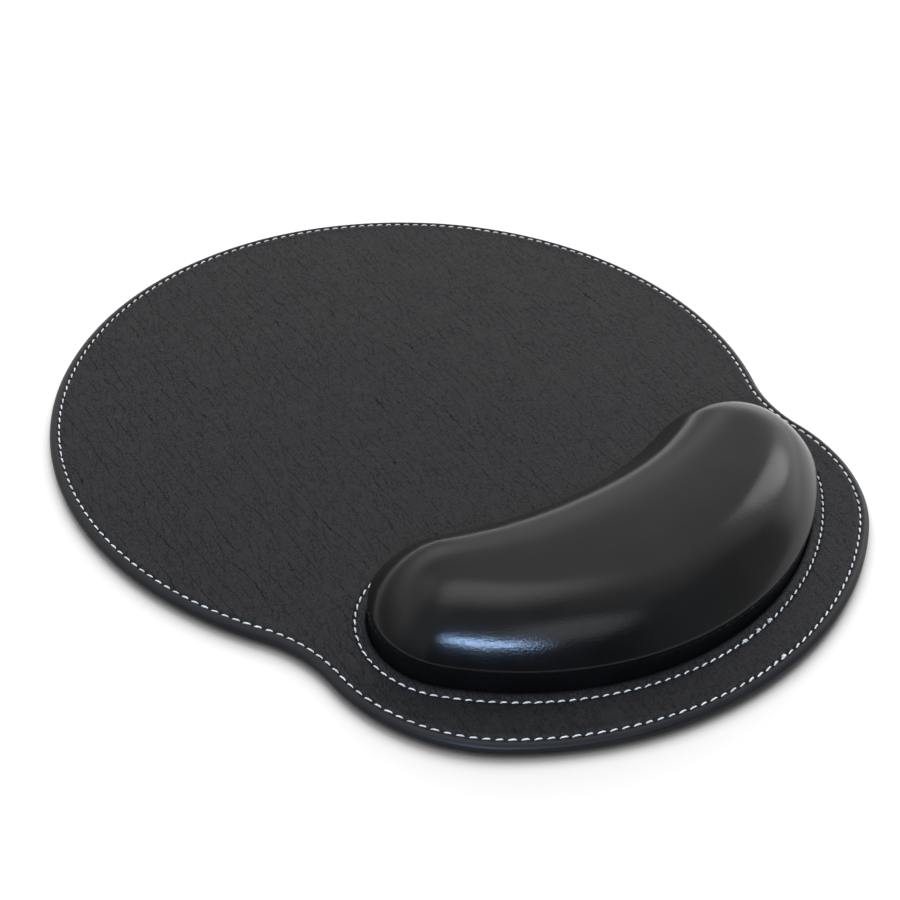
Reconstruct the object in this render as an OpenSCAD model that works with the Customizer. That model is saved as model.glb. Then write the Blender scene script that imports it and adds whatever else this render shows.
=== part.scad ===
// Mouse pad with a built-in wrist cushion, seen from above as a round pad with a narrower near end.
// Millimetres. The origin is in the middle of the underside, +Y points away from the user.
// Each outline is a closed chain of tangent arcs: [centre, radius, start angle, end angle, bulge],
// run anticlockwise, where bulge is 1 on an arc that swells out and -1 on one that is hollow.
// Profiles are lists of [distance in from the outline, height].

/* [Pad outline] */
// Radius of the arc along the far edge
far_r = 119.4; // [118:0.1:121]
// How far the far arc's centre lies from the origin, away from the user
far_y = 14.9; // [13:0.1:17]
// Radius of the arc along each side
side_r = 112.4; // [109:0.1:116]
// Angle at which the far arc hands over to a side arc
side_from = 45.2; // [38:0.1:52]
// Radius of the hollow at each waist
waist_r = 42.8; // [38:0.1:48]
// Radius of each near corner
corner_r = 55.4; // [53:0.1:58]
// How far a near corner's centre lies to the side of the middle
corner_x = 40.4; // [38:0.1:43]
// How far the near corners' centres lie from the origin, towards the user
corner_y = 65.3; // [63:0.1:68]
// Radius of the arc along the near edge
near_r = 122; // [112:0.5:135]

/* [Layers] */
// Thickness of the grained leather of the top cover
leather_t = 0.7; // [0.6:0.05:0.9]
// Thickness of the padding foam under the leather
padding_t = 1.2; // [1.1:0.1:2]
// Thickness of the stiffener board
board_t = 0.8; // [0.7:0.1:1.2]
// Thickness of the anti-slip base under the hem
base_edge_t = 0.8; // [0.6:0.1:1.2]
// Width of the hem that the top cover turns under the board
hem_w = 10; // [8:0.5:12]
// Depth of the rolled edge, from its outermost line to the flat top
roll_w = 2.6; // [2.2:0.1:2.8]
// Distance from the outermost line of the rim to the edge of the base
base_inset = 1.8; // [1.5:0.1:2.2]

/* [Cushion outline] */
// Radius of the ring seam around each end of the cushion
end_r = 28.2; // [27.5:0.1:29.5]
// How far the centre of an end lies to the side of the cushion's middle
end_x = 55; // [53:0.1:56]
// Radius of the ring seam along the cushion's near side
cushion_near_r = 102.8; // [98:0.1:110]
// Radius of the hollow in the cushion's far side
cushion_hollow_r = 130; // [110:1:170]
// How far the cushion's middle lies from the origin, towards the user
cushion_y = 67.7; // [66.5:0.1:68.7]
// How far the cushion is turned on the pad, in degrees
cushion_turn = -1.5; // [-2:0.1:2]

/* [Cushion body] */
// Height of the cushion above the pad's top
cushion_h = 24.5; // [20:0.5:28]
// Height of the upright side wall above the pad's top
wall_h = 8; // [6:0.5:10]
// Distance from the ring seam to the cushion's widest line
wall_inset = 3; // [2.8:0.1:3.6]
// How much the side wall's foot draws in under the widest line
foot_draw = 0.5; // [0.3:0.1:0.8]
// Distance from the ring seam to where the crown levels out
crown_inset = 26; // [24:0.5:27]
// Thickness of the moulded leather of the cushion cover
shell_t = 1.2; // [1:0.1:1.4]
// Width of the sewing flange outside the ring seam
flange_w = 4; // [3:0.5:5]

/* [Seams] */
// Distance from the rim's outermost line to the rim seam
rim_margin = 3; // [2.9:0.05:3.4]
// Pitch of the rim seam's stitches
rim_pitch = 3.4; // [3:0.1:4.5]
// Pitch of the ring seam's stitches
ring_pitch = 3.1; // [3:0.1:4.5]
// Length of one visible stitch
stitch_l = 2.4; // [2:0.1:2.6]
// Diameter of the needle thread
needle_d = 0.7; // [0.5:0.05:0.7]
// Diameter of the bobbin thread
bobbin_d = 0.5; // [0.3:0.05:0.55]
// Number of extra stitches where a seam's two ends lie over each other
backtack_n = 5; // [3:1:8]

/* [Hidden] */
// Heights of the layers, from the underside up
hem_z = base_edge_t;
board_z = hem_z + leather_t;
padding_z = board_z + board_t;
cover_z = padding_z + padding_t;
top_z = cover_z + leather_t;
crown_z = top_z + cushion_h;
wall_z = top_z + wall_h;

// Sunk seam lines
groove_w = 1.1;
groove_depth = 0.3;

// Room between pieces that lie side by side
gap = 0.1;
// Width of the pad's shaped edge band, from the outermost line to the flat middle
band_w = 14;
// Angle between the points of a round outline, and between those of a round profile
outline_step = 6;
profile_step = 30;
// Number of steps down the crown's curve, and the fullness of that curve
crown_n = 8;
crown_fullness = 0.9;

// ---------------------------------------------------------------- outlines

function heading(v) = atan2(v.y, v.x);

// The heading counted from 0 to 360 instead of from -180 to 180
function full_heading(v) = (heading(v) + 360) % 360;

// The arc on the other side of the plane of symmetry
function mirrored(a) = [[-a[0].x, a[0].y], a[1], 180 - a[3], 180 - a[2], a[4]];

// The point that is ra from a and rb from b, on the right of the line from b to a
function meeting_point(a, ra, b, rb) =
    let (d = b - a, l = norm(d), u = (ra^2 - rb^2 + l^2) / (2 * l), h = sqrt(ra^2 - u^2))
    a + d * u / l + [-d.y, d.x] * h / l;

far_c = [0, far_y];
side_c = far_c + (far_r - side_r) * [cos(side_from), sin(side_from)];
corner_c = [corner_x, -corner_y];
waist_c = meeting_point(side_c, side_r + waist_r, corner_c, corner_r + waist_r);
near_c = [0, sqrt((near_r - corner_r)^2 - corner_x^2) - corner_y];
near_to = heading(corner_c - near_c);

corner_arc = [corner_c, corner_r, near_to, heading(waist_c - corner_c), 1];
waist_arc = [waist_c, waist_r, full_heading(corner_c - waist_c),
             full_heading(side_c - waist_c), -1];
side_arc = [side_c, side_r, heading(waist_c - side_c), side_from, 1];

PAD = [[near_c, near_r, -180 - near_to, near_to, 1],
       corner_arc, waist_arc, side_arc,
       [far_c, far_r, side_from, 180 - side_from, 1],
       mirrored(side_arc), mirrored(waist_arc), mirrored(corner_arc)];

// The ring seam around the cushion, in the cushion's own frame
end_c = [end_x, 0];
cushion_near_c = [0, sqrt((cushion_near_r - end_r)^2 - end_x^2)];
cushion_hollow_c = [0, sqrt((cushion_hollow_r + end_r)^2 - end_x^2)];
cushion_near_to = heading(end_c - cushion_near_c);
hollow_from = heading(end_c - cushion_hollow_c);
end_arc = [end_c, end_r, cushion_near_to, heading(cushion_hollow_c - end_c), 1];

RING = [[cushion_near_c, cushion_near_r, -180 - cushion_near_to, cushion_near_to, 1],
        end_arc,
        [cushion_hollow_c, cushion_hollow_r, hollow_from, -180 - hollow_from, -1],
        mirrored(end_arc)];

function inset_radius(a, inset) = a[1] - a[4] * inset;

function points_along(arcs, inset) = [
    for (a = arcs)
        let (r = inset_radius(a, inset), n = ceil(abs(a[3] - a[2]) / outline_step))
        for (i = [0 : n - 1])
            let (t = a[2] + (a[3] - a[2]) * i / n)
            a[0] + r * [cos(t), sin(t)]
];

function arc_length(a, inset) = PI / 180 * abs(a[3] - a[2]) * inset_radius(a, inset);

function seam_length(arcs, inset, i = 0) =
    i == len(arcs) ? 0 : arc_length(arcs[i], inset) + seam_length(arcs, inset, i + 1);

// Point and direction of travel at a distance along a chain of arcs
function place_along(arcs, inset, s, i = 0) =
    let (a = arcs[i], l = arc_length(a, inset))
    s > l && i < len(arcs) - 1
        ? place_along(arcs, inset, s - l, i + 1)
        : let (t = a[2] + (a[3] - a[2]) * s / l, r = inset_radius(a, inset))
          [a[0] + r * [cos(t), sin(t)], t + 90 * a[4]];

// ---------------------------------------------------------------- building blocks

// A flat sheet whose edge lies a distance in from the outline
module sheet(arcs, inset, z, t) {
    translate([0, 0, z])
        linear_extrude(height = t)
            polygon(points_along(arcs, inset));
}

// A closed profile carried round the whole outline, as one ring. The profile runs up, outwards,
// down and back.
module band(arcs, profile) {
    loops = [for (p = profile) [for (q = points_along(arcs, p[0])) [q.x, q.y, p[1]]]];
    m = len(loops);
    n = len(loops[0]);
    polyhedron(
        points = [for (loop = loops) each loop],
        faces = [
            for (i = [0 : m - 1])
                for (j = [0 : n - 1])
                    let (here = i * n, next = (i + 1) % m * n, k = (j + 1) % n)
                    each [[here + j, here + k, next + k], [here + j, next + k, next + j]]
        ]);
}

module on_cushion() {
    translate([0, -cushion_y, 0])
        rotate([0, 0, cushion_turn])
            children();
}

module ring_sheet(inset, z, t) {
    on_cushion()
        sheet(RING, inset, z, t);
}

// The row of straight thread bars that one side of a lockstitch seam shows
module stitches(arcs, inset, pitch, d, z) {
    total = seam_length(arcs, inset);
    n = round(total / pitch);
    for (i = [0 : n - 1])
        thread_bar(place_along(arcs, inset, (i + 0.5) * total / n), d, z);
}

// Extra bars beside the seam where its ends lie over each other
module backtack(arcs, inset, pitch, d, z, from) {
    for (i = [0 : backtack_n - 1])
        thread_bar(place_along(arcs, inset + d + gap, from + i * pitch), d, z);
}

module thread_bar(place, d, z) {
    translate([place[0].x, place[0].y, z])
        rotate([0, 0, place[1]])
            rotate([0, 90, 0])
                cylinder(d = d, h = stitch_l, center = true, $fn = 24);
}

// Half of the rolled edge, from the top line round to the bottom line
function roll_points(w, low, high) = [
    for (t = [90 : profile_step : 270])
        [roll_w + w * cos(t), (low + high) / 2 + (high - low) / 2 * sin(t)]
];

// The crown from where it levels out down to the widest line
function crown_points(offset_in) = [
    for (i = [0 : crown_n])
        let (t = sin(90 * i / crown_n),
             w = crown_inset - wall_inset - offset_in,
             h = crown_z - wall_z - offset_in)
        [crown_inset - w * t, wall_z + h * (1 - t^2)^crown_fullness]
];

function reversed(v) = [for (i = [len(v) - 1 : -1 : 0]) v[i]];

// ---------------------------------------------------------------- pad

// Grained leather: flat top, rolled edge and hem in one piece, open where the cushion comes through
module top_cover() {
    seam_from = rim_margin - groove_w / 2;
    seam_to = rim_margin + groove_w / 2;
    profile = concat(
        [[band_w, cover_z], [band_w, top_z],
         [seam_to + groove_depth, top_z], [seam_to, top_z - groove_depth],
         [seam_from + groove_depth, top_z - groove_depth]],
        roll_points(roll_w, hem_z, top_z),
        [[hem_w, hem_z], [hem_w, board_z]],
        reversed(roll_points(roll_w - leather_t, board_z, cover_z)));
    color([0.10, 0.10, 0.11]) {
        band(PAD, profile);
        difference() {
            sheet(PAD, band_w, cover_z, leather_t);
            ring_sheet(wall_inset + foot_draw / 2, cover_z - 1, leather_t + 2);
            ring_groove();
        }
    }
}

// The sunk line under the ring seam's needle thread
module ring_groove() {
    difference() {
        ring_sheet(-groove_w / 2, top_z - groove_depth, 1);
        ring_sheet(groove_w / 2, top_z - groove_depth - 1, 3);
    }
}

// Soft layer under the leather, thinned under the cushion's flange, that fills the rolled edge
module padding_foam() {
    nose_w = roll_w - leather_t - gap / 2;
    profile = concat(
        [[band_w, padding_z], [band_w, cover_z]],
        roll_points(nose_w, board_z, cover_z),
        [[roll_w, padding_z]]);
    color([0.55, 0.55, 0.56]) {
        band(PAD, profile);
        difference() {
            sheet(PAD, band_w, padding_z, padding_t);
            ring_sheet(-flange_w - gap, cover_z - leather_t, leather_t + 1);
        }
    }
}

// Thin board that keeps the pad flat, with a sunk line for the ring seam's bobbin thread
module stiffener_board() {
    color([0.52, 0.42, 0.30])
        difference() {
            sheet(PAD, roll_w + gap, board_z, board_t);
            difference() {
                ring_sheet(-groove_w / 2, board_z - 1, 1 + bobbin_d + gap / 2);
                ring_sheet(groove_w / 2, board_z - 2, 4);
            }
        }
}

// Anti-slip sheet: its middle fills the space inside the hem, its edge lies under the hem
module base_sheet() {
    color([0.07, 0.07, 0.075])
        difference() {
            union() {
                sheet(PAD, base_inset, 0, base_edge_t);
                sheet(PAD, hem_w + gap, 0, board_z);
            }
            difference() {
                sheet(PAD, rim_margin - groove_w / 2, -1, 1 + bobbin_d + gap / 2);
                sheet(PAD, rim_margin + groove_w / 2, -2, 4);
            }
        }
}

// ---------------------------------------------------------------- cushion

// Smooth moulded leather shell with an upright wall and a flange that is sewn under the top cover
module cushion_cover() {
    flange_z = cover_z - leather_t;
    foot = wall_inset + foot_draw;
    profile = concat(
        crown_points(0),
        [[foot, cover_z], [-flange_w, cover_z], [-flange_w, flange_z], [foot + shell_t, flange_z]],
        reversed(crown_points(shell_t)));
    color([0.06, 0.06, 0.065])
        on_cushion() {
            band(RING, profile);
            sheet(RING, crown_inset, crown_z - shell_t, shell_t);
        }
}

// Soft foam dome that fills the crown
module cushion_foam() {
    inner = shell_t + gap;
    profile = concat(crown_points(inner), [[crown_inset, wall_z]]);
    color([0.85, 0.80, 0.62])
        on_cushion() {
            band(RING, profile);
            sheet(RING, crown_inset, wall_z, crown_z - inner - wall_z);
        }
}

// Firm foam block that holds the side wall upright
module cushion_block() {
    color([0.30, 0.32, 0.35])
        ring_sheet(wall_inset + foot_draw + shell_t + gap, cover_z - leather_t,
                   wall_z - cover_z + leather_t);
}

// ---------------------------------------------------------------- threads

needle_z = top_z - groove_depth + needle_d / 2;
// Where the ends of each seam lie over each other
rim_tack_from = 74;
ring_tack_from = 90;

module rim_needle_thread() {
    color([0.88, 0.87, 0.84]) {
        stitches(PAD, rim_margin, rim_pitch, needle_d, needle_z);
        backtack(PAD, rim_margin, rim_pitch, needle_d, needle_z, rim_tack_from);
    }
}

module rim_bobbin_thread() {
    color([0.12, 0.12, 0.12])
        stitches(PAD, rim_margin, rim_pitch, bobbin_d, bobbin_d / 2 + gap / 2);
}

module ring_needle_thread() {
    color([0.88, 0.87, 0.84])
        on_cushion() {
            stitches(RING, 0, ring_pitch, needle_d, needle_z);
            backtack(RING, 0, ring_pitch, needle_d, needle_z, ring_tack_from);
        }
}

module ring_bobbin_thread() {
    color([0.12, 0.12, 0.12])
        on_cushion()
            stitches(RING, 0, ring_pitch, bobbin_d, board_z + bobbin_d / 2);
}

top_cover();
padding_foam();
stiffener_board();
base_sheet();
cushion_cover();
cushion_foam();
cushion_block();
rim_needle_thread();
rim_bobbin_thread();
ring_needle_thread();
ring_bobbin_thread();
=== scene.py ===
"""Stitched black leather mouse pad with a wrist cushion sewn in at its near end.

Lengths in this script are millimetres, turned into metres where a mesh, light or camera is made.
"""
import math
import random

import bmesh
import bpy
from mathutils import Matrix, Vector, noise
from mathutils.geometry import delaunay_2d_cdt


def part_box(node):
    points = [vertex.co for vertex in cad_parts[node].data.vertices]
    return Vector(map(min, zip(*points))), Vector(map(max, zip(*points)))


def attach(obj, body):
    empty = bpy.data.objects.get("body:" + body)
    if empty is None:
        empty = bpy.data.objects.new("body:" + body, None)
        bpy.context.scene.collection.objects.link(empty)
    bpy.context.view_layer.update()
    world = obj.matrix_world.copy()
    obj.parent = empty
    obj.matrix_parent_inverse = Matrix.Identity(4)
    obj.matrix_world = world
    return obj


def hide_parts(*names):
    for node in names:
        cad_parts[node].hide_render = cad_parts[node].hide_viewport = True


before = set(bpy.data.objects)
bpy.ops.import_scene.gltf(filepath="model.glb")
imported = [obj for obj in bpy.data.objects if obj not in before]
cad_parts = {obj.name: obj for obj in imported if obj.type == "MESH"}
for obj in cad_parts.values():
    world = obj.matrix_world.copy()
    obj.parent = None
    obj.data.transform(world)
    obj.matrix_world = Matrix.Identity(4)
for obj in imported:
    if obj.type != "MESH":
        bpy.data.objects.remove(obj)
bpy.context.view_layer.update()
MM = 0.001


def box_mm(node):
    """Lowest and highest corner of a CAD node, in millimetres."""
    low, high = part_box(node)
    return Vector(low) / MM, Vector(high) / MM


# ------ outlines

class Arc:
    """A stretch of an outline. Bulge is 1 where it swells out and -1 where it is hollow."""

    def __init__(self, centre, radius, start, end, bulge=1):
        self.centre = Vector(centre)
        self.radius = radius
        self.start = start
        self.end = end
        self.bulge = bulge

    def mirrored(self):
        """The same stretch on the other side of the middle line."""
        centre = (-self.centre.x, self.centre.y)
        return Arc(centre, self.radius, math.pi - self.end, math.pi - self.start, self.bulge)

    def part(self, start, end):
        return Arc(self.centre, self.radius, start, end, self.bulge)

    def inset_radius(self, inset):
        return self.radius - self.bulge * inset

    def length(self, inset):
        return abs(self.end - self.start) * self.inset_radius(inset)

    def angle(self, t):
        return self.start + (self.end - self.start) * t

    def point(self, t, inset):
        angle = self.angle(t)
        out = Vector((math.cos(angle), math.sin(angle)))
        return self.centre + out * self.inset_radius(inset)

    def depth(self, point):
        """How far inside this stretch a point lies, or None beside its ends."""
        offset = point - self.centre
        angle = math.atan2(offset.y, offset.x)
        low, high = sorted((self.start, self.end))
        turns = math.ceil((low - angle) / math.tau)
        if angle + turns * math.tau > high:
            return None
        return self.bulge * (self.radius - offset.length)


class Outline:
    """A closed anticlockwise chain of tangent arcs."""

    def __init__(self, arcs):
        self.arcs = arcs

    def length(self, inset):
        return sum(arc.length(inset) for arc in self.arcs)

    def station(self, distance, inset):
        """The (arc, fraction) at a distance along the chain, measured at an inset."""
        distance %= self.length(inset)
        for arc in self.arcs:
            length = arc.length(inset)
            if distance <= length:
                return arc, distance / length
            distance -= length
        return self.arcs[-1], 1.0

    def stations(self, count, inset, shift=0.0):
        step = self.length(inset) / count
        return [self.station((i + shift) * step, inset) for i in range(count)]

    def depth(self, point):
        """Distance in from the outline, negative outside."""
        found = [arc.depth(point) for arc in self.arcs]
        return min((d for d in found if d is not None), key=abs, default=-1000.0)


def heading(v):
    return math.atan2(v.y, v.x)


def meeting_point(a, ra, b, rb):
    """The point ra from a and rb from b, on the right of the line from b to a."""
    d = b - a
    u = (ra * ra - rb * rb + d.length_squared) / (2 * d.length)
    h = math.sqrt(ra * ra - u * u)
    return a + d.normalized() * u + Vector((-d.y, d.x)).normalized() * h


# Radii of the pad's outline, as in the CAD part
FAR_R, SIDE_R, WAIST_R, CORNER_R, NEAR_R = 119.4, 112.4, 42.8, 55.4, 122.0
SIDE_FROM = math.radians(45.2)
CORNER_X = 40.4
# Radii of the seam round the cushion, its ends' distance from the middle, and its turn
END_R, END_X, CUSHION_NEAR_R, HOLLOW_R = 28.2, 55.0, 102.8, 130.0
CUSHION_TURN = math.radians(-1.5)
FLANGE_W = 4.0

PAD_LOW, PAD_HIGH = box_mm("top_cover")
CUSHION_LOW, CUSHION_HIGH = box_mm("cushion_cover")
BASE_HIGH = box_mm("base_sheet")[1]
FOAM_HIGH = box_mm("padding_foam")[1]
BLOCK_HIGH = box_mm("cushion_block")[1]

TOP_Z = PAD_HIGH.z
HEM_Z = PAD_LOW.z
COVER_Z = FOAM_HIGH.z
CROWN_Z = CUSHION_HIGH.z
WALL_Z = BLOCK_HIGH.z
LEATHER_T = TOP_Z - COVER_Z


def pad_outline():
    far_c = Vector((0, PAD_HIGH.y - FAR_R))
    near_c = Vector((0, PAD_LOW.y + NEAR_R))
    side_c = far_c + Vector((math.cos(SIDE_FROM), math.sin(SIDE_FROM))) * (FAR_R - SIDE_R)
    drop = math.sqrt((NEAR_R - CORNER_R) ** 2 - CORNER_X ** 2)
    corner_c = Vector((CORNER_X, near_c.y - drop))
    waist_c = meeting_point(side_c, SIDE_R + WAIST_R, corner_c, CORNER_R + WAIST_R)
    near_to = heading(corner_c - near_c)
    corner = Arc(corner_c, CORNER_R, near_to, heading(waist_c - corner_c))
    waist = Arc(waist_c, WAIST_R, heading(corner_c - waist_c) % math.tau,
                heading(side_c - waist_c) % math.tau, -1)
    side = Arc(side_c, SIDE_R, heading(waist_c - side_c), SIDE_FROM)
    return Outline([Arc(near_c, NEAR_R, -math.pi - near_to, near_to), corner, waist, side,
                    Arc(far_c, FAR_R, SIDE_FROM, math.pi - SIDE_FROM),
                    side.mirrored(), waist.mirrored(), corner.mirrored()])


def ring_arcs():
    """The seam round the cushion, in the cushion's own frame: near side, end, hollow side, end."""
    end_c = Vector((END_X, 0))
    near_c = Vector((0, math.sqrt((CUSHION_NEAR_R - END_R) ** 2 - END_X ** 2)))
    hollow_c = Vector((0, math.sqrt((HOLLOW_R + END_R) ** 2 - END_X ** 2)))
    near_to = heading(end_c - near_c)
    hollow_from = heading(end_c - hollow_c)
    end = Arc(end_c, END_R, near_to, heading(hollow_c - end_c))
    return [Arc(near_c, CUSHION_NEAR_R, -math.pi - near_to, near_to), end,
            Arc(hollow_c, HOLLOW_R, hollow_from, -math.pi - hollow_from, -1), end.mirrored()]


PAD = pad_outline()
RING = Outline(ring_arcs())
NEAR_RISE = RING.arcs[0].centre.y * math.cos(CUSHION_TURN)
CUSHION_C = Vector(((CUSHION_LOW.x + CUSHION_HIGH.x) / 2,
                    CUSHION_LOW.y + CUSHION_NEAR_R + FLANGE_W - NEAR_RISE))
TURN = Matrix.Rotation(CUSHION_TURN, 2)


def on_pad(point):
    """A point of the cushion's own frame, on the pad."""
    return CUSHION_C + TURN @ Vector(point[:2])


def in_cushion(point):
    """A point of the pad, in the cushion's own frame."""
    return TURN.transposed() @ (Vector(point[:2]) - CUSHION_C)


# ------ mesh building

class MeshMaker:
    """Collects points and faces in millimetres, and makes one object of them."""

    def __init__(self):
        self.points = []
        self.faces = []

    def add(self, points):
        first = len(self.points)
        self.points.extend(Vector(p) for p in points)
        return list(range(first, len(self.points)))

    def loop(self, points, height):
        """Adds flat points, each at height(point)."""
        return self.add([(p.x, p.y, height(p)) for p in points])

    def strips(self, loops):
        """Strips between loops that follow each other."""
        for a, b in zip(loops, loops[1:]):
            self.bridge(a, b)

    def bridge(self, a, b):
        """A closed strip between two loops. b may have a whole fraction of a's points."""
        ratio = len(a) // len(b)
        half = ratio // 2
        for j, near in enumerate(b):
            i = j * ratio
            nxt = b[(j + 1) % len(b)]
            for k in range(ratio):
                p, q = a[i + k], a[(i + k + 1) % len(a)]
                if k < half:
                    self.faces.append((p, q, near))
                elif k > half:
                    self.faces.append((p, q, nxt))
                else:
                    self.faces.append((p, q, nxt, near))

    def flip(self, first=0):
        self.faces[first:] = [tuple(reversed(f)) for f in self.faces[first:]]

    def fill(self, loops, inside, keep, height, lines=()):
        """Triangles between closed loops, through the given inside points and open lines."""
        index, edges = [], []
        for line in lines:
            edges.append((len(index), len(index) + 1))
            index.extend(line)
        for loop in loops:
            first = len(index)
            index.extend(loop)
            n = len(loop)
            edges.extend((first + i, first + (i + 1) % n) for i in range(n))
        flat = [self.points[i].to_2d() for i in index]
        index.extend(self.loop(inside, height))
        flat.extend(inside)
        made = delaunay_2d_cdt(flat, edges, [], 1, 1e-6)
        names = [index[olds[0]] for olds in made[3]]
        for face in made[2]:
            middle = sum((made[0][i] for i in face), Vector((0, 0))) / len(face)
            if keep(middle):
                self.faces.append(tuple(names[i] for i in face))

    def make(self, name, material, smooth=True):
        mesh = bpy.data.meshes.new(name)
        mesh.from_pydata([p * MM for p in self.points], [], self.faces)
        mesh.validate()
        turned = bmesh.new()
        turned.from_mesh(mesh)
        bmesh.ops.recalc_face_normals(turned, faces=turned.faces)
        turned.to_mesh(mesh)
        turned.free()
        mesh.materials.append(material)
        mesh.polygons.foreach_set("use_smooth", [smooth] * len(mesh.polygons))
        mesh.update()
        return new_object(name, mesh)


def new_object(name, data):
    obj = bpy.data.objects.new(name, data)
    bpy.context.scene.collection.objects.link(obj)
    return obj


def stand_for(piece, node):
    """Puts a piece in a CAD node's place, on the object's one body."""
    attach(piece, "root")
    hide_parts(node)


def level(z):
    return lambda p: z


def bell(x, width):
    return math.exp(-(x / width) ** 2)


def smoothstep(x):
    x = min(max(x, 0.0), 1.0)
    return x * x * (3 - 2 * x)


# How far the straight sides of a fine loop may stray from the true curve
CHORD_SAG = 0.012


def hex_points(low, high, pitch, wanted):
    """Points of a triangular lattice for which wanted(point) holds."""
    found = []
    rows = int((high.y - low.y) / (pitch * math.sqrt(0.75))) + 1
    for j in range(rows):
        y = low.y + j * pitch * math.sqrt(0.75)
        x = low.x + (j % 2) * pitch / 2
        while x < high.x:
            p = Vector((x, y))
            if wanted(p):
                found.append(p)
            x += pitch
    return found


# ------ materials

# The mesh attribute for how strongly the hide's grain stands up
GRAIN = "grain"


class Nodes:
    """A short way to write the node tree of a material, a world or a light."""

    def __init__(self, owner):
        self.owner = owner
        owner.use_nodes = True
        self.tree = owner.node_tree

    def add(self, kind, inputs=None, **settings):
        node = self.tree.nodes.new(kind)
        for key, value in settings.items():
            setattr(node, key, value)
        for key, value in (inputs or {}).items():
            self.put(node.inputs[key], value)
        return node

    def put(self, socket, value):
        if isinstance(value, bpy.types.NodeSocket):
            self.tree.links.new(value, socket)
        else:
            socket.default_value = value

    def finish(self, **inputs):
        shader = self.tree.nodes["Principled BSDF"]
        for key, value in inputs.items():
            self.put(shader.inputs[key.replace("_", " ")], value)
        return self.owner

    def place(self, stretch=(1, 1, 1), turn=0.0):
        """Object coordinates in metres, turned about Z and then stretched."""
        coord = self.add("ShaderNodeTexCoord")
        turned = self.add("ShaderNodeMapping", {"Vector": coord.outputs["Object"],
                                                "Rotation": (0, 0, turn)})
        mapping = self.add("ShaderNodeMapping", {"Vector": turned.outputs["Vector"],
                                                 "Scale": stretch})
        return mapping.outputs["Vector"]

    def axis(self, vector, name):
        return self.add("ShaderNodeSeparateXYZ", {0: vector}).outputs[name]

    def noise(self, vector, size, detail=2.0, rough=0.5):
        """Noise with features of about `size` millimetres."""
        node = self.add("ShaderNodeTexNoise", {"Vector": vector, "Scale": 1 / (size * MM),
                                               "Detail": detail, "Roughness": rough})
        return node.outputs["Fac"]

    def cells(self, vector, size, feature="DISTANCE_TO_EDGE"):
        """Cells of about `size` millimetres."""
        node = self.add("ShaderNodeTexVoronoi", {"Vector": vector, "Scale": 1 / (size * MM)},
                        feature=feature)
        return node.outputs["Distance"]

    def math(self, operation, a, b=0.0, c=0.0):
        return self.add("ShaderNodeMath", {0: a, 1: b, 2: c}, operation=operation).outputs[0]

    def span(self, value, low, high, to_low=0.0, to_high=1.0):
        """Maps low..high smoothly to to_low..to_high."""
        node = self.add("ShaderNodeMapRange", {"Value": value, "From Min": low, "From Max": high,
                                               "To Min": to_low, "To Max": to_high},
                        interpolation_type="SMOOTHSTEP")
        return node.outputs["Result"]

    def warp(self, vector, size, amount):
        """Moves coordinates by noise of `size` mm, by up to about `amount` mm."""
        wobble = self.add("ShaderNodeTexNoise", {"Vector": vector, "Scale": 1 / (size * MM),
                                                 "Detail": 1.0})
        centred = self.add("ShaderNodeVectorMath", {0: wobble.outputs["Color"], 1: (0.5, 0.5, 0.5)},
                           operation="SUBTRACT")
        scaled = self.add("ShaderNodeVectorMath", {0: centred.outputs[0], "Scale": 2 * amount * MM},
                          operation="SCALE")
        moved = self.add("ShaderNodeVectorMath", {0: vector, 1: scaled.outputs[0]}, operation="ADD")
        return moved.outputs[0]

    def mix(self, factor, a, b):
        node = self.add("ShaderNodeMix", {"Factor": factor}, data_type="RGBA")
        self.put(node.inputs[6], a)
        self.put(node.inputs[7], b)
        return node.outputs[2]

    def bump(self, height, distance):
        """Bump whose height 1 stands for `distance` millimetres."""
        node = self.add("ShaderNodeBump", {"Height": height, "Distance": distance * MM})
        return node.outputs["Normal"]


def rgb(r, g, b):
    return (r, g, b, 1.0)


def new_material(name):
    return Nodes(bpy.data.materials.new(name))


def creases(n, spacing, turn, width, cover):
    """Break lines in a hide, 0 in a line and 1 beside it: bent stripes that show in places.

    They lie `spacing` mm apart, `width` mm wide, and `cover` is how much of them shows.
    """
    drawn = n.place((1.0, 0.26, 1.0), turn)
    across = n.axis(drawn, "X")
    bend = n.math("MULTIPLY", n.noise(drawn, spacing * 1.6, 1.0), 1.6)
    jitter = n.math("MULTIPLY", n.noise(n.place(), 1.1, 2.0), 0.9 / spacing)
    phase = n.math("MULTIPLY_ADD", across, 1 / (spacing * MM), n.math("ADD", bend, jitter))
    line = n.span(n.math("PINGPONG", phase, 0.5), 0.0, 0.5 * width / spacing)
    gone = n.span(n.noise(drawn, spacing * 0.8, 1.0), cover - 0.09, cover + 0.09)
    return n.math("MAXIMUM", line, gone)


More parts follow.
